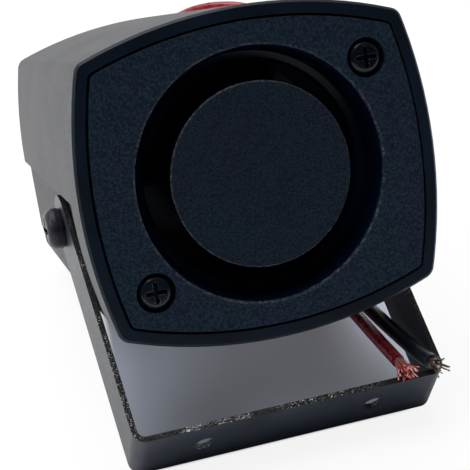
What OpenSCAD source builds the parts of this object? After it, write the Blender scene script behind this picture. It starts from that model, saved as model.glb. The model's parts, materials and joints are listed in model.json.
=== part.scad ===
// Compact alarm siren: a moulded pillow-shaped housing with a folded horn behind a round centre disc,
// tilted in a bent strip bracket that it stands on. The driver and the circuit board are inside.
// Pieces are drawn in the siren's own frame: X to the right, Y from the face towards the back, Z up,
// with the origin at the middle of the face. set_down() then tilts the siren back onto its bracket.

/* [Housing] */
// Width of the face between its corners
face_w = 64.4; // [63:0.2:68]
// Height of the face between its corners
face_h = 53; // [52:0.5:58]
// Bulge of the left and right edges of the face
face_side_bulge = 3.7; // [3:0.1:5]
// Bulge of the top and bottom edges of the face
face_top_bulge = 6; // [5.5:0.1:7]
// Width of the back between its corners
rear_w = 60; // [58:0.5:63]
// Height of the back between its corners
rear_h = 46; // [44:0.5:50]
// Bulge of the left and right edges of the back
rear_side_bulge = 2.6; // [2.2:0.1:3.5]
// Bulge of the top and bottom edges of the back
rear_top_bulge = 5.4; // [4.5:0.1:6]
// Depth of the housing from face to back
body_depth = 90; // [88:1:100]
// Wall of the housing
wall = 2.4; // [2:0.1:3]
// Rounding of the four long edges
corner_r = 2.6; // [1:0.2:3]
// Bevel round the front rim
rim_bevel = 0.5; // [0.3:0.1:1]
// Bevel round the back
rear_bevel = 1.5; // [0.5:0.1:2]
// Width of the rim that frames the front plate
rim_w = 2.6; // [2.4:0.1:3]

/* [Front plate and horn] */
// Thickness of the front plate
plate_t = 2.6; // [2:0.1:3.2]
// Gap between the front plate and the rim
plate_gap = 0.5; // [0.3:0.1:0.8]
// Radius of the horn mouth at the face
mouth_r = 25; // [24.6:0.1:25.4]
// Radius of the centre disc
disc_r = 18; // [17:0.25:18.5]
// Radius of the horn neck behind the mouth
neck_r = 21.5; // [21:0.25:22]
// Depth of the horn neck
neck_depth = 24; // [22:0.5:26]
// Wall of the horn pieces
horn_t = 1.5; // [1.2:0.1:1.8]
// Inner radius of the tone tube at its tip
tube_r = 4; // [3:0.25:5]

/* [Bracket] */
// Width of the bracket over its arms
bracket_w = 65.6; // [65:0.2:66]
// Width of the bracket strip
strip_w = 14; // [12:0.5:15]
// Thickness of the bracket strip
strip_t = 1.2; // [0.8:0.1:1.5]
// Distance from the pivot to the outer face of the bracket base
arm_len = 57; // [56:0.5:62]
// Outer radius of the bends
bend_r = 2.8; // [2:0.1:4]
// Forward swing of the bracket from straight down
arm_tilt = 43; // [38:1:46]
// Distance between the mounting holes
hole_spacing = 36; // [30:1:42]
// Diameter of the mounting holes
hole_d = 4.2; // [3.6:0.1:5]

/* [Pivot] */
// Depth of the pivot behind the face
pivot_y = 46; // [44:0.5:48]
// Height of the pivot from the middle of the face
pivot_z = -10.5; // [-12:0.5:-9]
// Diameter of the pivot screws
pivot_d = 5; // [4:0.5:5]
// Diameter of the pivot screw heads
pivot_head_d = 8.8; // [8.5:0.1:10]

/* [Leads] */
// Diameter of the red lead over its insulation
red_d = 2.8; // [2:0.1:2.8]
// Diameter of the black lead over its insulation
black_d = 3.2; // [2:0.1:3.2]
// Spacing of the two leads in the grommet
lead_pitch = 3.6; // [3.4:0.1:3.8]

/* [Hidden] */

$fn = 64;
arc_fn = 180;
eps = 0.01;
seat_gap = 0.05;        // between flat faces that seat on each other
fit_gap = 0.03;         // radial, where a round piece is pressed or screwed into another
turn_gap = 0.05;        // radial, where the bracket turns on its screws
sheet_gap = 0.3;        // between the bracket and the housing

// ---- places that follow from the sizes ----
rim_y = 0.3;
ledge_w = 1.2;
gasket_t = 0.8;
ledge_y = plate_t + gasket_t + 2 * seat_gap;
rear_wall = wall + 0.1;
rear_inner_y = body_depth - rear_wall;
screw_x = 24.1;
screw_z = 18.5;
post_r = 3.4;
cup_r = 5.2;
cup_depth = 5;
head_sink = 2.5;
pocket_x = bracket_w / 2 - strip_t - sheet_gap;
pocket_top = pivot_z + strip_w / 2 + 3;
pocket_y = 12;
pad_h = sheet_gap - seat_gap;
pad_r = strip_w / 2 - 1.8;
boss_r = pivot_d / 2 + 3;
boss_in_x = 22;
insert_len = 8;
insert_r = pivot_d / 2 + 1;
washer_t = 0.5;
ear_ring_r = neck_r + horn_t + 2.4;
ear_r = 2.8;
ear_angles = [60, 180, 300];
plate_corner_r = 1.4;
screw_core_r = 1.4;
skirt_r = disc_r - 2.4;
skirt_y = neck_depth - 4;
cup_t = 1.6;
step_y = 7.5;
core_ring_y = neck_depth + seat_gap;
core_ring_t = 2.4;
rib_y = 17;
rib_t = 1.6;
throat_y = core_ring_y + core_ring_t + seat_gap;
throat_t = 2.4;
frame_y = throat_y + throat_t + seat_gap;
frame_t = 7;
frame_lip = 2;
driver_r = 19;
top_plate_y = frame_y + frame_t + seat_gap;
top_plate_t = 3.5;
magnet_y = top_plate_y + top_plate_t + seat_gap;
magnet_t = 8;
yoke_y = magnet_y + magnet_t + seat_gap;
yoke_t = 3.5;
pole_r = 8.8;
coil_r = 9.6;
coil_t = 0.7;
coil_gap = 0.5;
board_y = rear_inner_y - 21.5;
board_t = 1.6;
board_w = 46;
board_h = 34;
board_post_x = 20;
board_post_z = 14;
grommet_x = 18;
grommet_z = -12;
grommet_r = 4.6;

// ---- tilt of the whole siren, from the two edges it stands on ----
base_back = [
    pivot_y - arm_len * sin(arm_tilt) + strip_w / 2 * cos(arm_tilt),
    pivot_z - arm_len * cos(arm_tilt) - strip_w / 2 * sin(arm_tilt)
];
base_front = [
    pivot_y - arm_len * sin(arm_tilt) - strip_w / 2 * cos(arm_tilt),
    pivot_z - arm_len * cos(arm_tilt) + strip_w / 2 * sin(arm_tilt)
];
heel = [body_depth - rear_bevel, -rear_h / 2 - rear_top_bulge];
lean = atan((heel[1] - base_back[1]) / (heel[0] - base_back[0]));
back_end = body_depth * cos(lean) - (heel[1] + rear_bevel) * sin(lean);
front_end = base_front[0] * cos(lean) + base_front[1] * sin(lean);
rest_y = -(back_end + front_end) / 2;
rest_z = heel[0] * sin(lean) - heel[1] * cos(lean);

module set_down() translate([0, rest_y, rest_z]) rotate([-lean, 0, 0]) children();

// ---- drawing helpers ----
module along_y(y, t) translate([0, y + t, 0]) rotate([90, 0, 0]) linear_extrude(t) children();
module along_x(x, t) translate([x, 0, 0]) rotate([90, 0, 90]) linear_extrude(t) children();
module rod_y(y, t, r) translate([0, y, 0]) rotate([-90, 0, 0]) cylinder(h = t, r = r);
module ring_y(y, t, r_out, r_in) difference() {
    rod_y(y, t, r_out);
    rod_y(y - 1, t + 2, r_in);
}
module turned_y() rotate([-90, 0, 0]) rotate_extrude($fn = 96) children();
module box_at(centre, size) translate(centre - size / 2) cube(size);
module both_sides() for (side = [0, 1]) mirror([side, 0, 0]) children();

// Two arcs that meet at the corners of a w by h box and bulge out at its sides
module side_arcs(w, h, bulge) {
    r = (h * h / 4 + bulge * bulge) / (2 * bulge);
    shift = r - w / 2 - bulge;
    intersection() {
        translate([-shift, 0]) circle(r, $fn = arc_fn);
        translate([shift, 0]) circle(r, $fn = arc_fn);
    }
}
module pillow(w, h, side, top) offset(r = corner_r, $fn = 32) offset(delta = -corner_r) intersection() {
    side_arcs(w, h, side);
    rotate(90) side_arcs(h, w, top);
}
// Run once at each of the three screw ears around the horn
module at_ears() for (a = ear_angles) rotate([0, a, 0]) translate([ear_ring_r, 0, 0]) children();
module face_outline(inset) offset(delta = -inset) pillow(face_w, face_h, face_side_bulge, face_top_bulge);
module plate_outline(inset) offset(r = plate_corner_r, $fn = 32) face_outline(inset + plate_corner_r);
module rear_outline(inset) offset(delta = -inset) pillow(rear_w, rear_h, rear_side_bulge, rear_top_bulge);

// Pan head with a cross recess, under-side at z = 0, pointing up
module pan_head(r, h, recess) difference() {
    rotate_extrude() polygon([
        [0, 0], [r, 0], [r, h * 0.35],
        for (a = [15:15:75]) [r * (0.55 + 0.45 * cos(a)), h * (0.35 + 0.65 * sin(a))],
        [r * 0.5, h], [0, h]
    ]);
    for (a = [0, 90]) rotate(a) translate([-r * 0.6, -r * 0.13, h - recess]) cube([r * 1.2, r * 0.26, h]);
}

// ---- housing ----
// Region in the Y-Z plane that is sunk for the arms to swing in
module swing_area() translate([pocket_y, pocket_top - 2 * face_h]) square([2 * body_depth, 2 * face_h]);
module post_rib(x, z, angle, len) translate([x, 0, z]) rotate([0, -angle, 0])
    translate([0, cup_depth + seat_gap, -0.8]) cube([len, 16, 1.6]);
module housing_solid() {
    difference() {
        hull() {
            along_y(rim_y, eps) face_outline(rim_bevel);
            along_y(rim_y + rim_bevel, eps) face_outline(0);
            along_y(body_depth - rear_bevel, eps) rear_outline(0);
            along_y(body_depth - eps, eps) rear_outline(rear_bevel);
        }
        hull() {
            along_y(ledge_y - eps, eps) face_outline(rim_w + ledge_w);
            along_y(rear_inner_y, eps) rear_outline(wall);
        }
        along_y(-1, ledge_y + 1) plate_outline(rim_w);
    }
    // thicker walls behind the pockets
    intersection() {
        hull() {
            along_y(ledge_y, eps) face_outline(rim_w);
            along_y(body_depth - eps, eps) rear_outline(rear_bevel);
        }
        both_sides() along_x(pocket_x - wall, 10) offset(delta = 2) intersection() {
            swing_area();
            translate([ledge_y + 2, -face_h]) square([body_depth - ledge_y - 4, 2 * face_h]);
        }
    }
}
module housing() color("#23282c") set_down() difference() {
    union() {
        difference() {
            housing_solid();
            both_sides() along_x(pocket_x, 20) swing_area();
        }
        both_sides() translate([0, pivot_y, pivot_z]) rotate([0, 90, 0]) {
            translate([0, 0, boss_in_x]) cylinder(h = pocket_x - boss_in_x, r = boss_r);
            translate([0, 0, pocket_x - 1]) cylinder(h = 1 + pad_h, r = pad_r);
        }
        for (s = [-1, 1]) intersection() {
            along_y(cup_depth + seat_gap, 16) face_outline(rim_w);
            union() {
                translate([s * screw_x, 0, s * screw_z]) rod_y(cup_depth + seat_gap, 16, post_r);
                post_rib(s * screw_x, s * screw_z, s > 0 ? 0 : 180, 12);
                post_rib(s * screw_x, s * screw_z, s > 0 ? 90 : -90, 12);
            }
        }
        for (s = [-1, 1]) translate([s * board_post_x, 0, s * board_post_z])
            rod_y(board_y + board_t + seat_gap, rear_inner_y + 1 - board_y - board_t, 3);
    }
    both_sides() translate([pocket_x + 1, pivot_y, pivot_z]) rotate([0, -90, 0])
        cylinder(h = insert_len + 2, r = insert_r + fit_gap);
    for (s = [-1, 1]) translate([s * screw_x, 0, s * screw_z]) rod_y(cup_depth, 14, screw_core_r + fit_gap);
    for (s = [-1, 1]) translate([s * board_post_x, 0, s * board_post_z]) rod_y(board_y, 12, 1.2);
    translate([grommet_x, 0, grommet_z]) rod_y(rear_inner_y - 1, rear_wall + 2, grommet_r - 0.9 + seat_gap);
}

// ---- front plate with the flared horn mouth ----
mouth_profile = [
    [mouth_r, 0], [mouth_r - 0.5, 1], [mouth_r - 1.2, step_y - 0.6], [mouth_r - 1.6, step_y],
    [neck_r + 0.5, step_y + 0.4], [neck_r, step_y + 1.4], [neck_r, neck_depth]
];
module mouth_wall() turned_y() polygon(concat(mouth_profile, [
    [neck_r + horn_t, neck_depth], [neck_r + horn_t, step_y + 2.6], [mouth_r + horn_t - 1, step_y + 0.6],
    [mouth_r + horn_t, 0]
]));
module front_plate() color("#1c262d") set_down() difference() {
    union() {
        along_y(0, plate_t) plate_outline(rim_w + plate_gap);
        at_ears() rod_y(1, neck_depth - 1, ear_r);
        mouth_wall();
        for (s = [-1, 1]) translate([s * screw_x, 0, s * screw_z]) rod_y(0.5, cup_depth - 0.5, cup_r);
    }
    turned_y() polygon(concat(
        [[0, -1], [mouth_r, -1]], mouth_profile, [[neck_r, neck_depth + 1], [0, neck_depth + 1]]
    ));
    for (s = [-1, 1]) translate([s * screw_x, 0, s * screw_z]) {
        rod_y(-1, head_sink + 1, 3.9);
        rod_y(-1, cup_depth + 2, 1.9);
    }
    at_ears() rod_y(neck_depth - 12, 13, screw_core_r + fit_gap);
}
module plate_gasket() color("#101010") set_down() difference() {
    along_y(plate_t + seat_gap, gasket_t) plate_outline(rim_w + plate_gap);
    along_y(0, 10) face_outline(rim_w + ledge_w + 0.2);
}
module cross_screw(head_r, head_h, core_r, len) rotate([90, 0, 0]) {
    pan_head(head_r, head_h, head_h * 0.6);
    translate([0, 0, -len]) cylinder(h = len + eps, r = core_r);
}
module front_screws() color("#15181b") set_down() for (s = [-1, 1])
    translate([s * screw_x, head_sink - seat_gap, s * screw_z]) cross_screw(3.5, 2.3, screw_core_r, 14);

// ---- folded horn ----
module horn_core() color("#1b242b") set_down() {
    turned_y() polygon([
        [0, 0], [disc_r - 0.3, 0], [disc_r, 0.3], [disc_r, 1.5],
        for (a = [15:15:90]) [disc_r - (disc_r - skirt_r) * sin(a), 1.5 + (skirt_y - 1.5) * (1 - cos(a))],
        [skirt_r - cup_t, skirt_y], [skirt_r - cup_t, 5], [skirt_r - cup_t - 2, 2.2], [0, 2.2]
    ]);
    difference() {
        union() {
            ring_y(core_ring_y, core_ring_t, neck_r + horn_t + 1.5, neck_r);
            at_ears() rod_y(core_ring_y, core_ring_t, ear_r);
        }
        rod_y(0, 40, neck_r);
        at_ears() rod_y(0, 40, screw_core_r + 0.2);
    }
    // ribs that hold the disc in the horn, and their feet on the ring
    for (a = ear_angles) rotate([0, a, 0]) {
        translate([skirt_r - 0.4, rib_y, -rib_t / 2])
            cube([neck_r - skirt_r, core_ring_y + core_ring_t - rib_y, rib_t]);
        translate([skirt_r - 0.4, core_ring_y, -rib_t / 2])
            cube([neck_r - skirt_r + 1, core_ring_t, rib_t]);
    }
}
module throat_horn() color("#2a2e31") set_down() difference() {
    union() {
        turned_y() polygon([
            [0, throat_y], [tube_r + horn_t, throat_y], [tube_r + horn_t - 0.6, 6], [tube_r, 6], [0, 6]
        ]);
        turned_y() polygon([
            [0, throat_y], [neck_r + horn_t + 1.5, throat_y], [neck_r + horn_t + 1.5, throat_y + throat_t],
            [0, throat_y + throat_t]
        ]);
        at_ears() rod_y(throat_y, throat_t, ear_r);
    }
    rod_y(0, 60, tube_r);
    at_ears() rod_y(0, 60, screw_core_r + 0.2);
}

// ---- driver ----
module driver_frame() color("#3a3f42") set_down() difference() {
    union() {
        rod_y(frame_y, frame_t, driver_r + 2);
        for (a = ear_angles) rotate([0, a, 0]) {
            translate([ear_ring_r, 0, 0]) rod_y(frame_y, 2.4, ear_r);
            box_at([driver_r + 3.5, frame_y + 1.2, 0], [6, 2.4, 2 * ear_r]);
        }
    }
    rod_y(frame_y - 1, frame_t - frame_lip + 1, driver_r - 2);
    rod_y(frame_y, frame_t + 1, coil_r + coil_t + 2);
    at_ears() rod_y(0, 60, screw_core_r + 0.2);
}
module driver_screws() color("#9aa0a4") set_down() for (a = ear_angles)
    rotate([0, a, 0]) translate([ear_ring_r, frame_y + 2.4 + seat_gap, 0]) mirror([0, 1, 0])
        cross_screw(2.8, 2, screw_core_r, frame_y + 2.4 - neck_depth + 9);
module diaphragm() color("#8d7b52") set_down() turned_y() {
    dome_y = frame_y + 1.6;
    rim_r = driver_r - 2.3;
    fold_w = rim_r - coil_r - coil_t;
    polygon([
        for (i = [0:6]) [coil_r * sin(15 * i), dome_y + 2.6 - 2.6 * cos(15 * i)],
        for (i = [1:5]) [coil_r + coil_t + fold_w * i / 6, dome_y + 2.6 - 1.6 * sin(30 * i)],
        [rim_r, dome_y + 2.6], [rim_r, dome_y + 3],
        for (i = [5:-1:1]) [coil_r + coil_t + fold_w * i / 6, dome_y + 3 - 1.6 * sin(30 * i)],
        for (i = [6:-1:0]) [(coil_r - 0.3) * sin(15 * i), dome_y + 3 - 2.6 * cos(15 * i)]
    ]);
}
module voice_coil() color("#b06a33") set_down()
    ring_y(frame_y + 4.6 + seat_gap, 6, coil_r + coil_t, coil_r);
module top_plate() color("#a7abae") set_down()
    ring_y(top_plate_y, top_plate_t, driver_r, coil_r + coil_t + coil_gap);
module magnet() color("#3b3b3e") set_down() ring_y(magnet_y, magnet_t, driver_r + 0.5, coil_r + coil_t + 2);
module yoke() color("#a7abae") set_down() {
    rod_y(yoke_y, yoke_t, driver_r);
    rod_y(top_plate_y, yoke_y - top_plate_y + 1, pole_r);
}

// ---- circuit board ----
module board_part(x, z, size) box_at([x, board_y - seat_gap - size[1] / 2, z], size);
module circuit_board() color("#2f6b3c") set_down() difference() {
    box_at([0, board_y + board_t / 2, 0], [board_w, board_t, board_h]);
    for (s = [-1, 1]) translate([s * board_post_x, 0, s * board_post_z]) rod_y(board_y - 1, 4, 1.5);
}
module board_screws() color("#b9bdc0") set_down() for (s = [-1, 1])
    translate([s * board_post_x, board_y - seat_gap, s * board_post_z]) cross_screw(2.4, 1.6, 1.17, 8);
module transformer() color("#c9a227") set_down() {
    board_part(-10, -7, [13, 1.2, 11]);
    translate([-10, board_y - seat_gap - 1.2, -7]) rotate([90, 0, 0]) cylinder(h = 8, r = 5);
    box_at([-10, board_y - 9.8, -7], [13, 1.3, 11]);
}
module capacitors() color("#2b3a6b") set_down() for (p = [[2, -10, 4, 10], [11, -10, 3.2, 8]])
    translate([p[0], board_y - seat_gap, p[1]]) rotate([90, 0, 0]) rotate_extrude() polygon([
        [0, 0], [p[2] - 0.4, 0], [p[2], 0.6], [p[2], p[3] - 0.5], [p[2] - 0.5, p[3]], [0, p[3]]
    ]);
module power_transistors() color("#1d1d1f") set_down() for (x = [-15, -4]) {
    board_part(x, 7.5, [10, 9, 4.4]);
    board_part(x, 10.45, [10, 12, 1.2]);
}
module heat_sink() color("#b8bcbf") set_down() {
    box_at([-9.5, board_y - 6.5, 11.9], [24, 12.4, 1.4]);
    for (i = [0:4]) box_at([-20.5 + 5.5 * i, board_y - 6.5, 13.9], [1, 12.4, 3]);
}
module tone_chip() color("#19191b") set_down() board_part(9, 2, [10, 3.2, 6.4]);
module resistors() color("#c8b48a") set_down() for (i = [0:3])
    translate([-2 - 4 * i, board_y - 1.3 - seat_gap, 1.9])
        cylinder(h = 5.6, r = 1.2, center = true, $fn = 24);
module inner_leads() color("#7c1f26") set_down() for (s = [-1, 1])
    translate([grommet_x + s * lead_pitch / 2, 0, grommet_z])
        rod_y(board_y + board_t + seat_gap, rear_inner_y - 2 - board_y - board_t - 2 * seat_gap, red_d / 2);
module lead_grommet() color("#141414") set_down() translate([grommet_x, 0, grommet_z]) turned_y() polygon([
    [0, rear_inner_y - 1.8], [grommet_r, rear_inner_y - 1.8], [grommet_r, rear_inner_y - seat_gap],
    [grommet_r - 0.9, rear_inner_y - seat_gap], [grommet_r - 0.9, body_depth + seat_gap],
    [grommet_r, body_depth + seat_gap], [grommet_r, body_depth + 1], [grommet_r - 0.7, body_depth + 2.2],
    [0, body_depth + 2.2]
]);

// ---- pivots ----
module at_pivots() both_sides() translate([0, pivot_y, pivot_z]) rotate([0, 90, 0]) children();
module pivot_inserts() color("#b8963e") set_down() at_pivots()
    translate([0, 0, pocket_x + pad_h - insert_len]) difference() {
        cylinder(h = insert_len, r = insert_r);
        translate([0, 0, -1]) cylinder(h = insert_len + 2, r = pivot_d / 2 + fit_gap);
    }
module pivot_screws() color("#2a2d30") set_down() at_pivots()
    translate([0, 0, bracket_w / 2 + washer_t + 2 * seat_gap]) {
        pan_head(pivot_head_d / 2, 3.1, 1.9);
        translate([0, 0, -10.5]) cylinder(h = 10.5 + eps, r = pivot_d / 2);
    }
module pivot_washers() color("#3a3d40") set_down() at_pivots()
    translate([0, 0, bracket_w / 2 + seat_gap]) difference() {
        cylinder(h = washer_t, r = pivot_head_d / 2 - 0.2);
        translate([0, 0, -1]) cylinder(h = 3, r = pivot_d / 2 + turn_gap);
    }

// ---- bracket ----
module bend() difference() {
    intersection() {
        translate([bend_r, -strip_w / 2, bend_r]) rotate([-90, 0, 0]) cylinder(h = strip_w, r = bend_r);
        translate([0, -strip_w / 2, 0]) cube([bend_r, strip_w, bend_r]);
    }
    translate([bend_r, -strip_w, bend_r]) rotate([-90, 0, 0])
        cylinder(h = 2 * strip_w, r = bend_r - strip_t);
}
module bracket() color("#2c3135") set_down()
    translate([0, pivot_y, pivot_z]) rotate([-arm_tilt, 0, 0]) difference() {
        union() {
            both_sides() {
                along_x(bracket_w / 2 - strip_t, strip_t) {
                    circle(d = strip_w);
                    translate([-strip_w / 2, bend_r - arm_len]) square([strip_w, arm_len - bend_r]);
                }
                translate([-bracket_w / 2, 0, -arm_len]) bend();
            }
            translate([bend_r - bracket_w / 2, -strip_w / 2, -arm_len])
                cube([bracket_w - 2 * bend_r, strip_w, strip_t]);
        }
        translate([-bracket_w, 0, 0]) rotate([0, 90, 0])
            cylinder(h = 2 * bracket_w, r = pivot_d / 2 + turn_gap);
        for (s = [-1, 1]) translate([s * hole_spacing / 2, 0, -arm_len - 1])
            cylinder(h = strip_t + 2, d = hole_d);
    }

// ---- leads, in the frame of the table that the siren stands on ----
red_route = [
    [16.2, 42.2, 14.2], [16.2, 49.7, 11.3], [16.1, 58, 7.9], [16, 66, 4.6], [16, 74, 2.3],
    [16.6, 83, 1.5], [17.5, 94, 1.5], [18.5, 106, 1.5], [19.8, 118, 1.5], [21.8, 130, 1.5],
    [25.2, 142, 1.5], [29.6, 153, 1.5], [35.2, 162.2, 1.5], [42, 168.4, 1.5], [49.5, 171.5, 1.5],
    [57, 170.7, 1.5], [63.2, 166.4, 1.5], [66.8, 159.6, 1.5], [67.2, 151, 1.5], [64.4, 141, 1.5],
    [59.4, 130.5, 1.5], [54, 121, 1.5], [48.4, 111.5, 1.5], [42.9, 102, 1.5], [37.8, 92, 1.5],
    [33.4, 81.5, 1.5], [30, 71, 1.5], [27.5, 60, 1.5], [26.2, 49, 1.5], [25.8, 38, 1.5],
    [25.7, 28, 1.7], [25.6, 18, 2.8], [25.5, 8, 4.5], [25.5, -2, 6.2], [25.3, -12, 7.8],
    [25.1, -22, 9.4], [24.8, -31, 10.9], [24.5, -39.5, 12.4], [24.3, -46, 13.6], [24.2, -49.5, 14.2]
];
black_route = [
    [19.8, 42.2, 14.2], [19.8, 49.7, 11.3], [19.8, 58, 7.9], [19.8, 66, 4.7], [20, 74, 2.6],
    [20.5, 83, 1.7], [21.3, 94, 1.7], [22.6, 106, 1.7], [24.2, 117, 1.7], [25.3, 126.5, 1.7],
    [27, 133.5, 1.7], [30.7, 140.8, 1.7], [37.2, 144.6, 1.7], [44.8, 144.6, 1.7], [50.5, 141.6, 1.7],
    [53.8, 136, 1.7], [54.2, 129.5, 1.7], [51.2, 123.2, 2.1], [46.8, 115, 3.4], [43.2, 106, 4.7],
    [40.5, 97, 5], [38.4, 88, 4.3], [36.2, 79, 2.5], [33.9, 70, 1.8], [31.7, 60, 1.7], [30.1, 49, 1.7],
    [29.4, 38, 1.7], [29.1, 28, 1.9], [28.9, 18, 2.9], [28.8, 8, 4.6], [28.8, -2, 6.2],
    [28.8, -12, 7.8], [28.8, -22, 9.4], [28.9, -31, 10.9], [29.1, -39.5, 12.4], [29.3, -46, 13.6],
    [29.5, -50, 14.4], [29.9, -53.5, 15.2]
];
function unit(v) = v / norm(v);
function heading(path, i) = unit(path[min(i + 1, len(path) - 1)] - path[max(i - 1, 0)]);
// Square across the path: sideways stays level, so the rings don't twist
function sideways(d) = unit(cross([0, 0, 1], d));
function ring(path, i, r, sides) = let (d = heading(path, i), u = sideways(d), w = cross(d, u))
    [for (k = [0:sides - 1]) path[i] + r * (cos(360 * k / sides) * u + sin(360 * k / sides) * w)];
module cord_tube(path, r, sides) {
    rings = len(path);
    polyhedron(
        points = [for (i = [0:rings - 1]) each ring(path, i, r, sides)],
        faces = [
            [for (k = [sides - 1:-1:0]) k],
            for (i = [0:rings - 2], k = [0:sides - 1]) let (a = i * sides, b = (k + 1) % sides)
                [a + k, a + b, a + sides + b, a + sides + k],
            [for (k = [0:sides - 1]) (rings - 1) * sides + k]
        ]
    );
}
// Bundle of bare strands past the end of a route
module strands(path, r, len) {
    last = len(path) - 1;
    d = unit(path[last] - path[last - 1]);
    translate(path[last] + seat_gap * d) rotate([0, acos(d[2]), atan2(d[1], d[0])])
        cylinder(h = len, r1 = r, r2 = r * 1.3, $fn = 24);
}
module red_lead() color("#9c2f3a") cord_tube(red_route, red_d / 2, 8);
module black_lead() color("#17191b") cord_tube(black_route, black_d / 2, 8);
module red_strands() color("#b87a5a") strands(red_route, red_d * 0.3, 7);
module black_strands() color("#8d6a50") strands(black_route, black_d * 0.3, 5);

housing();
front_plate();
plate_gasket();
front_screws();
horn_core();
throat_horn();
driver_frame();
driver_screws();
diaphragm();
voice_coil();
top_plate();
magnet();
yoke();
circuit_board();
board_screws();
transformer();
capacitors();
power_transistors();
heat_sink();
tone_chip();
resistors();
inner_leads();
lead_grommet();
pivot_inserts();
pivot_screws();
pivot_washers();
bracket();
red_lead();
black_lead();
red_strands();
black_strands();
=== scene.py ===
import json
import math
import random

import bmesh
import bpy
from mathutils import Matrix, Vector


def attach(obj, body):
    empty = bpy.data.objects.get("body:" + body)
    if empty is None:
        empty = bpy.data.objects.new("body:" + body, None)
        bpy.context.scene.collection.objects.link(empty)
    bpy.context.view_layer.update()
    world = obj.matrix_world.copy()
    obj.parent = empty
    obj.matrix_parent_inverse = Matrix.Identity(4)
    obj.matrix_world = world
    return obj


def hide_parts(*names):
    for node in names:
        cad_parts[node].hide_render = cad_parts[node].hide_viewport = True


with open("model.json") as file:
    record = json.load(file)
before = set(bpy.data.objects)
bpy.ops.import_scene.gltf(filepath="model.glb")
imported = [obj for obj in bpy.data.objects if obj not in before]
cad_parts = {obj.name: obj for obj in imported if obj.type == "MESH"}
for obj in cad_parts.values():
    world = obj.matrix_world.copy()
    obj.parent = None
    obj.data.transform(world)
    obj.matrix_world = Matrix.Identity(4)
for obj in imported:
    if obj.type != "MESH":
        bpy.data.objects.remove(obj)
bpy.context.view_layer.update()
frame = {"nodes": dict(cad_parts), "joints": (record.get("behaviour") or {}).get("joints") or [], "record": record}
MM = 0.001

# The siren's own frame: X to the right, Y from its face towards its back, Z up, tilted back by LEAN.
LEAN = math.radians(20.534)
PIVOT_BEHIND_FACE = 46 * MM
PIVOT_BELOW_MIDDLE = 10.5 * MM
PIVOT = Vector(frame["joints"][0]["pos_m"])
FACE_MIDDLE = PIVOT - Matrix.Rotation(-LEAN, 3, "X") @ Vector((0, PIVOT_BEHIND_FACE, -PIVOT_BELOW_MIDDLE))
MOUTH_R = 25 * MM
DISC_R = 18 * MM

BEVEL_SAMPLES = 6
# The cosine of a rounded normal's lean where an edge starts to show, and where it shows in full.
EDGE_LEAN = (0.98, 0.8)
WHITE = (1, 1, 1, 1)
# Where a Mix node has its inputs, and its output of colour. Its output of a value is the first one.
MIX_FACTOR = 0
MIX_VALUES = (2, 3)
MIX_COLOURS = (6, 7)
MIX_COLOUR_OUT = 2


# ---- camera ----
def add_camera():
    data = bpy.data.cameras.new("camera")
    data.lens = 122.55
    data.sensor_width = 36
    data.clip_start = 0.01
    camera = bpy.data.objects.new("camera", data)
    camera.location = (-0.08267, -0.29488, 0.20506)
    camera.rotation_euler = [math.radians(a) for a in (59.073, 2.524, -18.209)]
    bpy.context.collection.objects.link(camera)
    bpy.context.scene.camera = camera


# ---- node helpers ----
def new_material(name):
    """A new material, its node tree and its one Principled shader."""
    material = bpy.data.materials.new(name)
    material.use_nodes = True
    return material, material.node_tree, material.node_tree.nodes["Principled BSDF"]


def add_node(tree, kind, links=(), **values):
    """Adds a node. links are pairs of an input and its socket or value, and values are its properties."""
    node = tree.nodes.new(kind)
    for key, value in values.items():
        setattr(node, key, value)
    for key, source in links:
        if isinstance(source, bpy.types.NodeSocket):
            tree.links.new(source, node.inputs[key])
        else:
            node.inputs[key].default_value = source
    return node


def object_coords(tree, scale=(1, 1, 1)):
    """Places on the piece. A scale below 1 draws a texture out along its axis, and one above 1 packs it."""
    coords = add_node(tree, "ShaderNodeTexCoord").outputs["Object"]
    return add_node(tree, "ShaderNodeMapping", [("Vector", coords), ("Scale", scale)]).outputs["Vector"]


def siren_coords(tree):
    """Places in the siren's own frame: X, Y and Z, and how far from the horn's axis."""
    coords = add_node(tree, "ShaderNodeTexCoord").outputs["Object"]
    offset = Matrix.Rotation(LEAN, 3, "X") @ -FACE_MIDDLE
    placed = add_node(tree, "ShaderNodeMapping", [
        ("Vector", coords), ("Rotation", (LEAN, 0, 0)), ("Location", offset)]).outputs["Vector"]
    split = add_node(tree, "ShaderNodeSeparateXYZ", [("Vector", placed)])
    flat = add_node(tree, "ShaderNodeVectorMath", [(0, placed), (1, (1, 0, 1))], operation="MULTIPLY")
    from_axis = add_node(tree, "ShaderNodeVectorMath", [(0, flat.outputs[0])], operation="LENGTH")
    return split.outputs["X"], split.outputs["Y"], split.outputs["Z"], from_axis.outputs["Value"]


def noise(tree, vector, size_mm, detail=3.0, rough=0.5, distortion=0.0):
    node = add_node(tree, "ShaderNodeTexNoise", [
        ("Vector", vector), ("Scale", 1 / (size_mm * MM)), ("Detail", detail),
        ("Roughness", rough), ("Distortion", distortion)])
    return node.outputs["Fac"]


def from_cell_edges(tree, vector, size_mm):
    links = [("Vector", vector), ("Scale", 1 / (size_mm * MM))]
    return add_node(tree, "ShaderNodeTexVoronoi", links, feature="DISTANCE_TO_EDGE").outputs["Distance"]


def spread(tree, value, limits, to=(0.0, 1.0)):
    """Maps the first limit to the first value of to, the second to the second, and stops at both ends."""
    node = add_node(tree, "ShaderNodeMapRange", [
        ("Value", value), ("From Min", limits[0]), ("From Max", limits[1]),
        ("To Min", to[0]), ("To Max", to[1])])
    return node.outputs["Result"]


def math_node(tree, operation, *values):
    return add_node(tree, "ShaderNodeMath", enumerate(values), operation=operation).outputs[0]


def times(tree, a, b):
    return math_node(tree, "MULTIPLY", a, b)


def plus(tree, a, b):
    return math_node(tree, "ADD", a, b)


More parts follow.
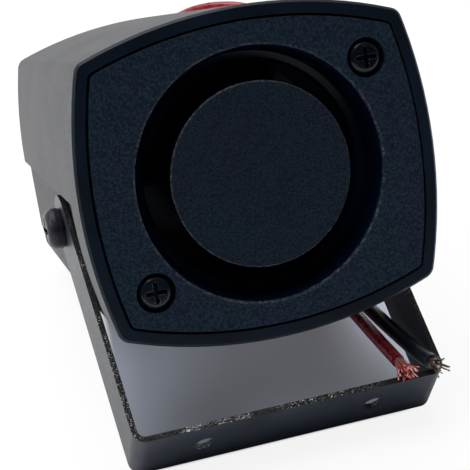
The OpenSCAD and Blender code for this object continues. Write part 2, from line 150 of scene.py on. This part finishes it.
def weighted(tree, first, second):
    """The sum of two (value, weight) pairs."""
    return plus(tree, times(tree, *first), times(tree, *second))


def along(tree, vector, direction):
    """How far a vector points along a direction."""
    links = [(0, vector), (1, direction)]
    return add_node(tree, "ShaderNodeVectorMath", links, operation="DOT_PRODUCT").outputs["Value"]


def blend_value(tree, factor, low, high):
    links = [(MIX_FACTOR, factor), (MIX_VALUES[0], low), (MIX_VALUES[1], high)]
    return add_node(tree, "ShaderNodeMix", links).outputs[0]


def blend_colour(tree, factor, low, high):
    node = add_node(tree, "ShaderNodeMix", [(MIX_FACTOR, factor)], data_type="RGBA")
    for index, value in zip(MIX_COLOURS, (low, high)):
        if isinstance(value, bpy.types.NodeSocket):
            tree.links.new(value, node.inputs[index])
        else:
            node.inputs[index].default_value = (*value, 1)
    return node.outputs[MIX_COLOUR_OUT]


def rounded_normal(tree, radius_mm):
    links = [("Radius", radius_mm * MM)]
    return add_node(tree, "ShaderNodeBevel", links, samples=BEVEL_SAMPLES).outputs["Normal"]


def edge_mask(tree, radius_mm):
    """1 on the sharp edges of a solid and 0 on its flats, from how far a rounded normal leans."""
    flat = add_node(tree, "ShaderNodeNewGeometry").outputs["True Normal"]
    return spread(tree, along(tree, rounded_normal(tree, radius_mm), flat), EDGE_LEAN)


def bumped(tree, shader, height, distance_mm, strength, edge_mm=0.0):
    """Bump on top of edges that are rounded by edge_mm."""
    links = [("Height", height), ("Distance", distance_mm * MM), ("Strength", strength)]
    if edge_mm:
        links.append(("Normal", rounded_normal(tree, edge_mm)))
    bump = add_node(tree, "ShaderNodeBump", links)
    tree.links.new(bump.outputs["Normal"], shader.inputs["Normal"])


# ---- materials ----
def moulded(name, dark, light, grain_mm, bump_mm, rough=(0.4, 0.55)):
    """Plastic, rubber, film or ferrite: mottled colour, a grain with pits, and rubbed edges."""
    edge_mm = 0.15
    material, tree, shader = new_material(name)
    coords = object_coords(tree)
    broad = noise(tree, coords, size_mm=9, detail=4)
    grain = noise(tree, coords, grain_mm, detail=4, rough=0.6, distortion=0.4)
    pits = from_cell_edges(tree, coords, grain_mm * 1.3)
    fine = noise(tree, coords, size_mm=0.12, detail=2)
    mottle = weighted(tree, (broad, 0.5), (grain, 0.6))
    colour = blend_colour(tree, spread(tree, mottle, (0.38, 0.72)), dark, light)
    rubbed = times(tree, edge_mask(tree, edge_mm * 1.6), spread(tree, broad, (0.35, 0.7), to=(0.1, 0.6)))
    worn = [min(1, 0.03 + 1.7 * c) for c in light]
    tree.links.new(blend_colour(tree, rubbed, colour, worn), shader.inputs["Base Color"])
    tree.links.new(spread(tree, grain, (0.3, 0.7), to=rough), shader.inputs["Roughness"])
    shader.inputs["Specular IOR Level"].default_value = 0.5
    height = plus(tree, plus(tree, grain, times(tree, pits, 0.8)), times(tree, fine, 0.25))
    bumped(tree, shader, height, bump_mm, strength=0.7, edge_mm=edge_mm)
    return material


# The two colours of the leather, each in its valleys and on its ridges.
FACE_TEAL = ((0.0018, 0.0095, 0.02), (0.009, 0.031, 0.054))
FACE_VIOLET = ((0.003, 0.0085, 0.021), (0.013, 0.026, 0.055))
# Behind the face, and on the rubbed round edge.
MOUTH_NAVY = (0.001, 0.0038, 0.012)
MOUTH_RUBBED = (0.085, 0.085, 0.1)


def face_plastic(name, leather_mm, leather_depth_mm, edge_r, smooth_inside, tone):
    """The front plate or the disc: leather on the face, smooth gloss behind it, and a rubbed round edge.

    smooth_inside keeps the gloss within the mouth, and a tone below 1 darkens the leather.
    """
    material, tree, shader = new_material(name)
    coords = object_coords(tree)
    _, depth, _, from_axis = siren_coords(tree)

    # Leather: rounded cells with bent outlines, and finer noise.
    warp = add_node(tree, "ShaderNodeTexNoise", [("Vector", coords), ("Scale", 1 / (leather_mm * 1.6 * MM))])
    links = [(0, warp.outputs["Color"]), (1, (leather_mm * MM,) * 3), (2, coords)]
    bent = add_node(tree, "ShaderNodeVectorMath", links, operation="MULTIPLY_ADD").outputs[0]
    links = [("Vector", bent), ("Scale", 1 / (leather_mm * MM)), ("Smoothness", 0.6)]
    domes = add_node(tree, "ShaderNodeTexVoronoi", links, feature="SMOOTH_F1").outputs["Distance"]
    leather = spread(tree, domes, (0.1, 0.75), to=(1, 0))
    fine = noise(tree, coords, leather_mm * 0.35, detail=3, rough=0.6)
    grain = weighted(tree, (leather, 0.75), (fine, 0.45))
    ridges = spread(tree, grain, (0.35, 0.95))
    teal, violet = [blend_colour(tree, ridges, *([tone * c for c in colour] for colour in pair))
                    for pair in (FACE_TEAL, FACE_VIOLET)]
    broad = noise(tree, coords, size_mm=16, detail=3)
    skin = blend_colour(tree, spread(tree, broad, (0.42, 0.62)), teal, violet)

    smooth = spread(tree, depth, (0.25 * MM, 0.5 * MM))
    if smooth_inside:
        smooth = times(tree, smooth, spread(tree, from_axis, (MOUTH_R + 0.8 * MM, MOUTH_R + 0.4 * MM)))
    base = blend_colour(tree, smooth, skin, MOUTH_NAVY)

    off_edge = math_node(tree, "ABSOLUTE", math_node(tree, "SUBTRACT", from_axis, edge_r))
    near_edge = spread(tree, off_edge, (0.1 * MM, 0.35 * MM), to=(1, 0))
    flecks = spread(tree, noise(tree, coords, size_mm=0.7, detail=4, rough=0.7), (0.45, 0.62))
    near_face = spread(tree, depth, (0.7 * MM, 0.4 * MM))
    rubbed = times(tree, times(tree, near_edge, flecks), near_face)
    tree.links.new(blend_colour(tree, rubbed, base, MOUTH_RUBBED), shader.inputs["Base Color"])

    face_rough = spread(tree, grain, (0.3, 0.9), to=(0.52, 0.4))
    tree.links.new(blend_value(tree, smooth, face_rough, 0.2), shader.inputs["Roughness"])
    shader.inputs["Specular IOR Level"].default_value = 0.13
    strength = blend_value(tree, smooth, 0.9, 0.04)
    bumped(tree, shader, grain, leather_depth_mm, strength, edge_mm=0.25)
    return material


# Each pair runs from dark to light. The side's pair is lifted above the plastic's own colour as painted sheen, for
# the light the sides catch at a grazing angle.
HOUSING_SIDE_SHEEN = ((0.0, 0.001, 0.003), (0.07, 0.072, 0.078))
HOUSING_RIM = ((0.0008, 0.0045, 0.012), (0.003, 0.009, 0.021))
HOUSING_CHIPPED = (0.16, 0.16, 0.17)
# How much of the depth the grain is laid on: below 1, it is drawn out from front to back.
HOUSING_GRAIN_DRAW = 0.15


def housing_plastic(name):
    """The moulded shell: sides lightened by painted sheen, with a grain drawn out along them, and a smooth dark
    rim round the front.
    """
    material, tree, shader = new_material(name)
    coords = object_coords(tree)
    across, depth, up, _ = siren_coords(tree)
    broad = noise(tree, coords, size_mm=14, detail=4)
    drawn = add_node(tree, "ShaderNodeCombineXYZ", [
        ("X", across), ("Y", times(tree, depth, HOUSING_GRAIN_DRAW)), ("Z", up)]).outputs["Vector"]
    grain = noise(tree, drawn, size_mm=0.38, detail=2, rough=0.6)
    mottle = weighted(tree, (broad, 0.15), (grain, 0.85))
    # Painted sheen: the sides' colour is lighter than the black plastic, for the light they catch at a grazing
    # angle.
    side = blend_colour(tree, spread(tree, mottle, (0.4, 0.6)), *HOUSING_SIDE_SHEEN)
    rim = blend_colour(tree, spread(tree, broad, (0.35, 0.65)), *HOUSING_RIM)
    front = spread(tree, depth, (1.0 * MM, 0.7 * MM))
    body = blend_colour(tree, front, side, rim)
    chips = spread(tree, noise(tree, coords, size_mm=0.9, detail=4, rough=0.75), (0.6, 0.66))
    chipped = times(tree, edge_mask(tree, radius_mm=0.25), chips)
    tree.links.new(blend_colour(tree, chipped, body, HOUSING_CHIPPED), shader.inputs["Base Color"])
    side_rough = spread(tree, grain, (0.3, 0.7), to=(0.42, 0.58))
    tree.links.new(blend_value(tree, front, side_rough, 0.4), shader.inputs["Roughness"])
    shader.inputs["Specular IOR Level"].default_value = 0.2
    strength = blend_value(tree, front, 0.9, 0.12)
    bumped(tree, shader, grain, distance_mm=0.11, strength=strength, edge_mm=0.2)
    return material


# The pairs run from dark to light. The blue pair is a painted bluish sheen, lighter than the satin, for the base's
# outer face.
BRACKET_SATIN = ((0.01, 0.014, 0.02), (0.028, 0.034, 0.044))
BRACKET_BLUE_SHEEN = ((0.012, 0.018, 0.032), (0.03, 0.04, 0.06))
BRACKET_SHEARED = (0.003, 0.0035, 0.004)
BRACKET_BARE = (0.93, 0.94, 0.95)
# The bracket's base ends between these two places, to either side of the middle.
BASE_END = (31 * MM, 29.5 * MM)


def bracket_steel(name):
    """Black coated strip: satin faces with a painted bluish sheen on the base's outer face, and dark sheared edges
    where the coat has chipped to bright metal.
    """
    material, tree, shader = new_material(name)
    coords = object_coords(tree)
    base_normal = Vector(next(m["axis"] for m in frame["record"]["mounts"] if m["name"] == "bracket_base"))
    edge_normal = base_normal.cross(Vector((1, 0, 0)))
    normal = add_node(tree, "ShaderNodeTexCoord").outputs["Normal"]
    sheared = spread(tree, math_node(tree, "ABSOLUTE", along(tree, normal, edge_normal)), (0.55, 0.8))
    # Painted sheen: the faces that get the bluish sheen, chosen by the way they point.
    sheen_on_base_face = spread(tree, along(tree, normal, base_normal), (0.6, 0.9))

    # The coat: satin, with a painted bluish sheen on the outer face of the base, and dark where the strip was cut.
    broad = noise(tree, coords, size_mm=8, detail=4)
    peel = noise(tree, coords, size_mm=0.45, detail=3, rough=0.6)
    scuffs = noise(tree, object_coords(tree, (0.1, 1, 1)), size_mm=0.6, detail=5, rough=0.7)
    wear = spread(tree, weighted(tree, (broad, 0.6), (scuffs, 0.5)), (0.42, 0.75))
    satin = blend_colour(tree, wear, *BRACKET_SATIN)
    blue = blend_colour(tree, wear, *BRACKET_BLUE_SHEEN)
    coat = blend_colour(tree, sheen_on_base_face, satin, blue)
    coat = blend_colour(tree, sheared, coat, BRACKET_SHEARED)

    # Chips: on the edges only, more of them on the base, and most on its left.
    place = add_node(tree, "ShaderNodeSeparateXYZ", [("Vector", coords)]).outputs["X"]
    on_base = spread(tree, math_node(tree, "ABSOLUTE", place), BASE_END, to=(0.35, 1))
    likely = times(tree, on_base, spread(tree, place, (14 * MM, -8 * MM), to=(0.3, 1)))
    flecks = noise(tree, object_coords(tree, (1, 1.6, 1.6)), size_mm=0.38, detail=4, rough=0.75)
    flecks = plus(tree, flecks, spread(tree, likely, (0, 1), to=(-0.06, 0)))
    notches = spread(tree, flecks, (0.54, 0.585))
    patches = spread(tree, noise(tree, coords, size_mm=9, detail=2), (0.42, 0.55), to=(0.1, 1))
    on_edges = math_node(tree, "MAXIMUM", times(tree, edge_mask(tree, radius_mm=0.2), 0.7), sheared)
    chipped = times(tree, times(tree, notches, patches), on_edges)

    tree.links.new(blend_colour(tree, chipped, coat, BRACKET_BARE), shader.inputs["Base Color"])
    tree.links.new(times(tree, chipped, 0.15), shader.inputs["Metallic"])
    coat_rough = spread(tree, scuffs, (0.3, 0.75), to=(0.3, 0.44))
    tree.links.new(blend_value(tree, sheared, coat_rough, 0.75), shader.inputs["Roughness"])
    shader.inputs["Specular IOR Level"].default_value = 0.28
    height = plus(tree, peel, times(tree, notches, -0.8))
    bumped(tree, shader, height, distance_mm=0.06, strength=0.5, edge_mm=0.12)
    return material


def coated_steel(name, dark, light, bare, chips, rough, gloss):
    """Black coated screw: orange-peel coat, scuffs, and bare metal where its edges have chipped."""
    edge_mm = 0.1
    material, tree, shader = new_material(name)
    coords = object_coords(tree)
    broad = noise(tree, coords, size_mm=7, detail=4)
    peel = noise(tree, coords, size_mm=0.55, detail=3, rough=0.55)
    scuffs = noise(tree, object_coords(tree, (0.12, 1, 1)), size_mm=0.5, detail=5, rough=0.7)
    flecks = spread(tree, noise(tree, coords, size_mm=0.6, detail=4, rough=0.7), (0.5, 0.62), to=(0, chips))
    chipped = times(tree, edge_mask(tree, edge_mm * 2), flecks)
    wear = spread(tree, plus(tree, broad, times(tree, scuffs, 0.4)), (0.5, 0.9))
    colour = blend_colour(tree, wear, dark, light)
    tree.links.new(blend_colour(tree, chipped, colour, bare), shader.inputs["Base Color"])
    tree.links.new(times(tree, chipped, 0.9), shader.inputs["Metallic"])
    tree.links.new(spread(tree, scuffs, (0.3, 0.75), to=rough), shader.inputs["Roughness"])
    shader.inputs["Specular IOR Level"].default_value = gloss
    height = plus(tree, peel, times(tree, scuffs, 0.35))
    bumped(tree, shader, height, distance_mm=0.05, strength=0.45, edge_mm=edge_mm)
    return material


def metal(name, dark, light, rough=(0.25, 0.42), metallic=1.0, scale=(1, 1, 1)):
    """Bare or plated metal with fine marks, packed by scale."""
    material, tree, shader = new_material(name)
    marks = noise(tree, object_coords(tree, scale), size_mm=0.3, detail=5, rough=0.7)
    broad = noise(tree, object_coords(tree), size_mm=4, detail=3)
    colour = blend_colour(tree, spread(tree, broad, (0.3, 0.7)), dark, light)
    tree.links.new(colour, shader.inputs["Base Color"])
    tree.links.new(spread(tree, marks, (0.3, 0.7), to=rough), shader.inputs["Roughness"])
    shader.inputs["Metallic"].default_value = metallic
    bumped(tree, shader, marks, distance_mm=0.02, strength=0.4, edge_mm=0.08)
    return material


def insulation(name, dark, light, rough=(0.22, 0.36)):
    """Soft lead insulation: a glossy, slightly uneven skin with handling dirt."""
    material, tree, shader = new_material(name)
    coords = object_coords(tree)
    dirt = noise(tree, coords, size_mm=3, detail=5, rough=0.6)
    skin = noise(tree, coords, size_mm=0.35, detail=3)
    colour = blend_colour(tree, spread(tree, dirt, (0.35, 0.7)), dark, light)
    tree.links.new(colour, shader.inputs["Base Color"])
    tree.links.new(spread(tree, dirt, (0.3, 0.7), to=rough), shader.inputs["Roughness"])
    shader.inputs["Specular IOR Level"].default_value = 0.55
    bumped(tree, shader, skin, distance_mm=0.05, strength=0.35)
    return material


# For each material slot of the record: the function that makes its material, and what it is called with.
SLOT_MATERIALS = {
    "housing_plastic": (housing_plastic, {}),
    "plate_plastic": (face_plastic, dict(
        leather_mm=0.55, leather_depth_mm=0.26, edge_r=MOUTH_R, smooth_inside=True, tone=1)),
    "horn_plastic": (face_plastic, dict(
        leather_mm=0.4, leather_depth_mm=0.17, edge_r=DISC_R, smooth_inside=False, tone=0.75)),
    "bracket_steel": (bracket_steel, {}),
    "black_screw": (coated_steel, dict(
        dark=(0.0012, 0.003, 0.007), light=(0.005, 0.009, 0.018), bare=(0.4, 0.42, 0.45), chips=0.5,
        rough=(0.16, 0.28), gloss=0.3)),
    "pivot_steel": (coated_steel, dict(
        dark=(0.008, 0.008, 0.013), light=(0.028, 0.028, 0.04), bare=(0.5, 0.48, 0.5), chips=0.4,
        rough=(0.25, 0.42), gloss=0.2)),
    "foam_rubber": (moulded, dict(
        dark=(0.008, 0.008, 0.008), light=(0.02, 0.02, 0.02), grain_mm=0.3, bump_mm=0.1, rough=(0.8, 0.9))),
    "frame_plastic": (moulded, dict(
        dark=(0.004, 0.012, 0.04), light=(0.008, 0.02, 0.06), grain_mm=0.5, bump_mm=0.05)),
    "diaphragm_film": (moulded, dict(
        dark=(0.3, 0.22, 0.1), light=(0.4, 0.3, 0.16), grain_mm=0.6, bump_mm=0.03, rough=(0.2, 0.3))),
    "ferrite": (moulded, dict(
        dark=(0.03, 0.03, 0.031), light=(0.06, 0.06, 0.062), grain_mm=0.4, bump_mm=0.04, rough=(0.6, 0.75))),
    "board_green": (moulded, dict(
        dark=(0.01, 0.06, 0.022), light=(0.02, 0.1, 0.04), grain_mm=1.5, bump_mm=0.02, rough=(0.25, 0.4))),
    "winding_tape": (moulded, dict(
        dark=(0.4, 0.26, 0.02), light=(0.55, 0.38, 0.05), grain_mm=0.8, bump_mm=0.05, rough=(0.4, 0.5))),
    "can_blue": (moulded, dict(
        dark=(0.012, 0.02, 0.08), light=(0.02, 0.035, 0.13), grain_mm=1.0, bump_mm=0.02, rough=(0.2, 0.3))),
    "chip_black": (moulded, dict(
        dark=(0.006, 0.006, 0.007), light=(0.014, 0.014, 0.015), grain_mm=0.4, bump_mm=0.03,
        rough=(0.5, 0.6))),
    "resistor_body": (moulded, dict(
        dark=(0.45, 0.35, 0.2), light=(0.6, 0.48, 0.3), grain_mm=0.6, bump_mm=0.03, rough=(0.3, 0.4))),
    "grommet_rubber": (moulded, dict(
        dark=(0.006, 0.006, 0.007), light=(0.016, 0.016, 0.017), grain_mm=0.4, bump_mm=0.05,
        rough=(0.45, 0.6))),
    "zinc_steel": (metal, dict(dark=(0.5, 0.52, 0.54), light=(0.68, 0.69, 0.7))),
    "copper_coil": (metal, dict(dark=(0.45, 0.2, 0.09), light=(0.6, 0.3, 0.15), scale=(1, 1, 8))),
    "sink_aluminium": (metal, dict(dark=(0.6, 0.61, 0.62), light=(0.75, 0.76, 0.77), scale=(1, 8, 1))),
    "insert_brass": (metal, dict(dark=(0.45, 0.3, 0.1), light=(0.62, 0.44, 0.17))),
    "tinned_copper": (metal, dict(
        dark=(0.42, 0.06, 0.06), light=(0.85, 0.45, 0.42), rough=(0.3, 0.45), metallic=0.5)),
    "bare_copper": (metal, dict(
        dark=(0.06, 0.045, 0.04), light=(0.36, 0.29, 0.26), rough=(0.3, 0.45), metallic=0.7)),
    "red_pvc": (insulation, dict(dark=(0.24, 0.012, 0.022), light=(0.42, 0.03, 0.045))),
    "black_pvc": (insulation, dict(
        dark=(0.004, 0.007, 0.014), light=(0.012, 0.018, 0.03), rough=(0.26, 0.4))),
}


def dress_cad_nodes():
    """Gives each CAD node the material of its slot in the record, and returns the materials by slot."""
    made = {}
    for part in frame["record"]["subparts"]:
        slot = part["material_slot"]
        if slot not in made:
            make, values = SLOT_MATERIALS[slot]
            made[slot] = make(slot, **values)
        node = frame["nodes"][part["node"]]
        if not node.material_slots:
            node.data.materials.append(made[slot])
        for material_slot in node.material_slots:
            material_slot.material = made[slot]
    return made


# ---- leads ----
# The routes are in millimetres, from the siren's back wall to the bare end, and the same as in part.scad.
RED_D = 2.8 * MM
BLACK_D = 3.2 * MM
RED_ROUTE = [
    (16.2, 42.2, 14.2), (16.2, 49.7, 11.3), (16.1, 58, 7.9), (16, 66, 4.6), (16, 74, 2.3),
    (16.6, 83, 1.5), (17.5, 94, 1.5), (18.5, 106, 1.5), (19.8, 118, 1.5), (21.8, 130, 1.5),
    (25.2, 142, 1.5), (29.6, 153, 1.5), (35.2, 162.2, 1.5), (42, 168.4, 1.5), (49.5, 171.5, 1.5),
    (57, 170.7, 1.5), (63.2, 166.4, 1.5), (66.8, 159.6, 1.5), (67.2, 151, 1.5), (64.4, 141, 1.5),
    (59.4, 130.5, 1.5), (54, 121, 1.5), (48.4, 111.5, 1.5), (42.9, 102, 1.5), (37.8, 92, 1.5),
    (33.4, 81.5, 1.5), (30, 71, 1.5), (27.5, 60, 1.5), (26.2, 49, 1.5), (25.8, 38, 1.5),
    (25.7, 28, 1.7), (25.6, 18, 2.8), (25.5, 8, 4.5), (25.5, -2, 6.2), (25.3, -12, 7.8),
    (25.1, -22, 9.4), (24.8, -31, 10.9), (24.5, -39.5, 12.4), (24.3, -46, 13.6), (24.2, -49.5, 14.2),
]
BLACK_ROUTE = [
    (19.8, 42.2, 14.2), (19.8, 49.7, 11.3), (19.8, 58, 7.9), (19.8, 66, 4.7), (20, 74, 2.6),
    (20.5, 83, 1.7), (21.3, 94, 1.7), (22.6, 106, 1.7), (24.2, 117, 1.7), (25.3, 126.5, 1.7),
    (27, 133.5, 1.7), (30.7, 140.8, 1.7), (37.2, 144.6, 1.7), (44.8, 144.6, 1.7), (50.5, 141.6, 1.7),
    (53.8, 136, 1.7), (54.2, 129.5, 1.7), (51.2, 123.2, 2.1), (46.8, 115, 3.4), (43.2, 106, 4.7),
    (40.5, 97, 5), (38.4, 88, 4.3), (36.2, 79, 2.5), (33.9, 70, 1.8), (31.7, 60, 1.7), (30.1, 49, 1.7),
    (29.4, 38, 1.7), (29.1, 28, 1.9), (28.9, 18, 2.9), (28.8, 8, 4.6), (28.8, -2, 6.2),
    (28.8, -12, 7.8), (28.8, -22, 9.4), (28.9, -31, 10.9), (29.1, -39.5, 12.4), (29.3, -46, 13.6),
    (29.5, -50, 14.4), (29.9, -53.5, 15.2),
]

CORE_R = 0.95 * MM
STRAND_R = 0.16 * MM
STRAND_SIDES = 5
STRAND_STEPS = 5
# The part of a turn from one strand to the next, which spreads them evenly.
STRAND_TURN = 0.382
# How far the brush spreads and curls upwards, where it is 1 sideways.
BRUSH_HEIGHT = 0.6
# A direction that no strand runs along.
OFF_AXIS = Vector((0.3, 0.2, 1))


def curve_piece(name, points, radius):
    """A round cord through the points, as one open spline."""
    data = bpy.data.curves.new(name, "CURVE")
    data.dimensions = "3D"
    data.resolution_u = 6
    data.bevel_depth = radius
    data.bevel_resolution = 5
    data.use_fill_caps = True
    spline = data.splines.new("BEZIER")
    spline.bezier_points.add(len(points) - 1)
    for knot, point in zip(spline.bezier_points, points):
        knot.co = point
        knot.handle_left_type = knot.handle_right_type = "AUTO"
    piece = bpy.data.objects.new(name, data)
    bpy.context.collection.objects.link(piece)
    return piece


def on_circle(angle, side, up, height=1.0):
    """The place at an angle on a circle with these axes, or on one that is flattened to height."""
    return math.cos(angle) * side + height * math.sin(angle) * up


def frayed(name, tip, direction, count, length, flare, curl_by, seed):
    """A brush of bare strands that fans out of the end of a lead. Chance varies each strand a little."""
    chance = random.Random(seed)
    mesh = bmesh.new()
    side = direction.cross(Vector((0, 0, 1))).normalized()
    up = side.cross(direction).normalized()
    for index in range(count):
        angle = math.tau * index * STRAND_TURN
        reach = math.sqrt((index + 0.5) / count)
        root = tip + reach * CORE_R * on_circle(angle, side, up)
        lean = flare * reach * (0.6 + 0.8 * chance.random())
        aim = direction + lean * on_circle(angle, side, up, BRUSH_HEIGHT)
        curl = [chance.uniform(-limit, limit) for limit in (1, 1, BRUSH_HEIGHT)]
        curl = Vector(curl) * curl_by
        run = length * (0.6 + 0.4 * chance.random())
        path = []
        for step in range(STRAND_STEPS + 1):
            t = step / STRAND_STEPS
            path.append(root + (aim.normalized() * t + curl * t * t) * run)
        add_strand(mesh, path, STRAND_R * (0.8 + 0.4 * chance.random()))
    data = bpy.data.meshes.new(name)
    mesh.to_mesh(data)
    mesh.free()
    data.shade_smooth()
    piece = bpy.data.objects.new(name, data)
    bpy.context.collection.objects.link(piece)
    return piece


def add_strand(mesh, path, radius):
    """One thin strand along a path, closed at both ends."""
    rings = []
    for index, point in enumerate(path):
        ahead = path[min(index + 1, len(path) - 1)] - path[max(index - 1, 0)]
        side = ahead.cross(OFF_AXIS).normalized()
        up = side.cross(ahead).normalized()
        angles = [math.tau * k / STRAND_SIDES for k in range(STRAND_SIDES)]
        rings.append([mesh.verts.new(point + radius * on_circle(angle, side, up)) for angle in angles])
    for near, far in zip(rings, rings[1:]):
        for k in range(STRAND_SIDES):
            after = (k + 1) % STRAND_SIDES
            mesh.faces.new((near[k], near[after], far[after], far[k]))
    mesh.faces.new(rings[0][::-1])
    mesh.faces.new(rings[-1])


def add_lead(name, route, diameter, slot, strands_node, strands_slot, strands, made):
    """A lead along its route, with a brush of bare strands at its end."""
    points = [Vector(p) * MM for p in route]
    lead = curve_piece(name + "_cord", points, diameter / 2)
    lead.data.materials.append(made[slot])
    direction = (points[-1] - points[-2]).normalized()
    brush = frayed(name + "_brush", points[-1], direction, **strands)
    brush.data.materials.append(made[strands_slot])
    for piece, node, wanted in ((lead, name, slot), (brush, strands_node, strands_slot)):
        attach(piece, "siren")
        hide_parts(node)


# ---- floor, world and lamps ----
FLOOR_REACH = 1.6
# The patch of floor under the siren that keeps its shadow and gets painted shade on top of it. Its sides are at
# UNDER_LEFT and UNDER_RIGHT where
# Y is -UNDER_FRONT, and slant to the right behind it, as the camera looks.
UNDER_LEFT = -30.6 * MM
UNDER_RIGHT = 36.7 * MM
UNDER_FRONT = 33 * MM
UNDER_SLANT = 0.149
UNDER_SOFT = 1.2 * MM
# The patch starts at the bracket's base, or behind it to either side, and fades out at the back.
UNDER_BASE_FROM = (-48.5 * MM, -47.5 * MM)
UNDER_BASE_HALF = (28 * MM, 26 * MM)
BEHIND_BASE_FROM = (-42 * MM, -37 * MM)
UNDER_BACK = (48 * MM, 42 * MM)
FLOOR_PALE = ((0.9, 0.9, 0.91), (0.95, 0.95, 0.955))
# Painted shade: the darker, bluer colour of the floor under the siren.
FLOOR_PAINTED_SHADE = ((0.7, 0.76, 0.92), (0.74, 0.8, 0.96))
# Painted shade: under the siren's left the floor is painted darker still, and this painted shade ends between
# these places.
FLOOR_PAINTED_SHADE_LEFT = (0.42, 0.46, 0.56)
PAINTED_SHADE_LEFT_END = (-30 * MM, 5 * MM)
# How much plain white the camera sees in the floor: away from the siren, and under it from left to right, where it
# is painted light that grows towards the right.
FLOOR_WHITE = 0.88
UNDER_PAINTED_LIGHT = (0.025, 0.065)
UNDER_PAINTED_LIGHT_LIMITS = (-30 * MM, 30 * MM)
# How strongly the world lights, from where its direction's Y is towards the camera to where it is behind.
WORLD_LIMITS = (-0.6, 0.3)
WORLD_STRENGTH = (0.03, 0.85)


def painted_shade_patch(tree, across, x, y):
    """1 on the patch of floor under the siren, where shade is painted, and 0 away from it."""
    under = spread(tree, across, (UNDER_LEFT - UNDER_SOFT, UNDER_LEFT + UNDER_SOFT))
    under = times(tree, under, spread(tree, across, (UNDER_RIGHT + UNDER_SOFT, UNDER_RIGHT - UNDER_SOFT)))
    within_base = spread(tree, math_node(tree, "ABSOLUTE", x), UNDER_BASE_HALF)
    under_base = times(tree, spread(tree, y, UNDER_BASE_FROM), within_base)
    behind_base = spread(tree, y, BEHIND_BASE_FROM)
    under = times(tree, under, math_node(tree, "MAXIMUM", under_base, behind_base))
    return times(tree, under, spread(tree, y, UNDER_BACK))


def add_stage():
    """A pale floor. Away from the siren the camera sees it white, which also hides the siren's shadow there. Under
    the siren it keeps its shadow, with painted shade on top, darker and bluer.
    """
    mesh = bpy.data.meshes.new("floor")
    corners = [(FLOOR_REACH * x, FLOOR_REACH * y, 0) for x, y in ((-1, -1), (1, -1), (1, 1), (-1, 1))]
    mesh.from_pydata(corners, [], [(0, 1, 2, 3)])
    floor = bpy.data.objects.new("floor", mesh)
    bpy.context.collection.objects.link(floor)

    material, tree, shader = new_material("pale_floor_painted_shade")
    coords = object_coords(tree)
    split = add_node(tree, "ShaderNodeSeparateXYZ", [("Vector", coords)])
    x, y = split.outputs["X"], split.outputs["Y"]
    across = math_node(tree, "SUBTRACT", x, times(tree, plus(tree, y, UNDER_FRONT), UNDER_SLANT))
    under = painted_shade_patch(tree, across, x, y)

    speckle = noise(tree, coords, size_mm=40, detail=3)
    pale = blend_colour(tree, speckle, *FLOOR_PALE)
    painted_shade = blend_colour(tree, speckle, *FLOOR_PAINTED_SHADE)
    # Painted shade: darker towards the siren's left.
    painted_shade = blend_colour(tree, spread(tree, across, PAINTED_SHADE_LEFT_END), FLOOR_PAINTED_SHADE_LEFT, painted_shade)
    tree.links.new(blend_colour(tree, under, pale, painted_shade), shader.inputs["Base Color"])
    rough = spread(tree, noise(tree, coords, size_mm=3, detail=4), (0.3, 0.7), to=(0.6, 0.75))
    tree.links.new(rough, shader.inputs["Roughness"])
    shader.inputs["Specular IOR Level"].default_value = 0.2

    white = add_node(tree, "ShaderNodeEmission", [("Color", WHITE), ("Strength", 1)])
    # Painted light: under the siren the white grows from left to right.
    under_painted_light = spread(tree, across, UNDER_PAINTED_LIGHT_LIMITS, to=UNDER_PAINTED_LIGHT)
    seen = add_node(tree, "ShaderNodeLightPath").outputs["Is Camera Ray"]
    share = times(tree, seen, blend_value(tree, under, FLOOR_WHITE, under_painted_light))
    mixed = add_node(tree, "ShaderNodeMixShader", [(0, share), (1, shader.outputs[0]), (2, white.outputs[0])])
    tree.links.new(mixed.outputs[0], tree.nodes["Material Output"].inputs["Surface"])
    mesh.materials.append(material)


def add_world():
    """White to the camera. It lights most from behind, less from above and beside, hardly from the front."""
    world = bpy.data.worlds.new("studio")
    world.use_nodes = True
    bpy.context.scene.world = world
    tree = world.node_tree
    background = tree.nodes["Background"]
    direction = add_node(tree, "ShaderNodeTexCoord").outputs["Generated"]
    split = add_node(tree, "ShaderNodeSeparateXYZ", [("Vector", direction)])
    lit = spread(tree, split.outputs["Y"], WORLD_LIMITS, to=WORLD_STRENGTH)
    seen = add_node(tree, "ShaderNodeLightPath").outputs["Is Camera Ray"]
    tree.links.new(blend_value(tree, seen, lit, 1.0), background.inputs["Strength"])
    background.inputs["Color"].default_value = WHITE


def add_area(name, place, target, size, power):
    data = bpy.data.lights.new(name, "AREA")
    data.size = size
    data.energy = power
    lamp = bpy.data.objects.new(name, data)
    lamp.location = place
    lamp.rotation_euler = (Vector(target) - Vector(place)).to_track_quat("-Z", "Y").to_euler()
    bpy.context.collection.objects.link(lamp)


def add_lights():
    add_world()
    middle = (0, 0, 0.04)
    add_area("top_softbox", place=(-0.15, 0.25, 0.9), target=middle, size=0.9, power=9)
    add_area("side_softbox", place=(-0.8, 0.1, 0.45), target=middle, size=0.5, power=2.5)


add_camera()
made = dress_cad_nodes()
add_lead("red_lead", RED_ROUTE, RED_D, "red_pvc", "red_strands", "tinned_copper",
         dict(count=46, length=7 * MM, flare=0.2, curl_by=0.2, seed=3), made)
add_lead("black_lead", BLACK_ROUTE, BLACK_D, "black_pvc", "black_strands", "bare_copper",
         dict(count=26, length=3.4 * MM, flare=0.32, curl_by=0.35, seed=5), made)
add_stage()
add_lights()
bpy.context.scene.view_settings.view_transform = "Standard"
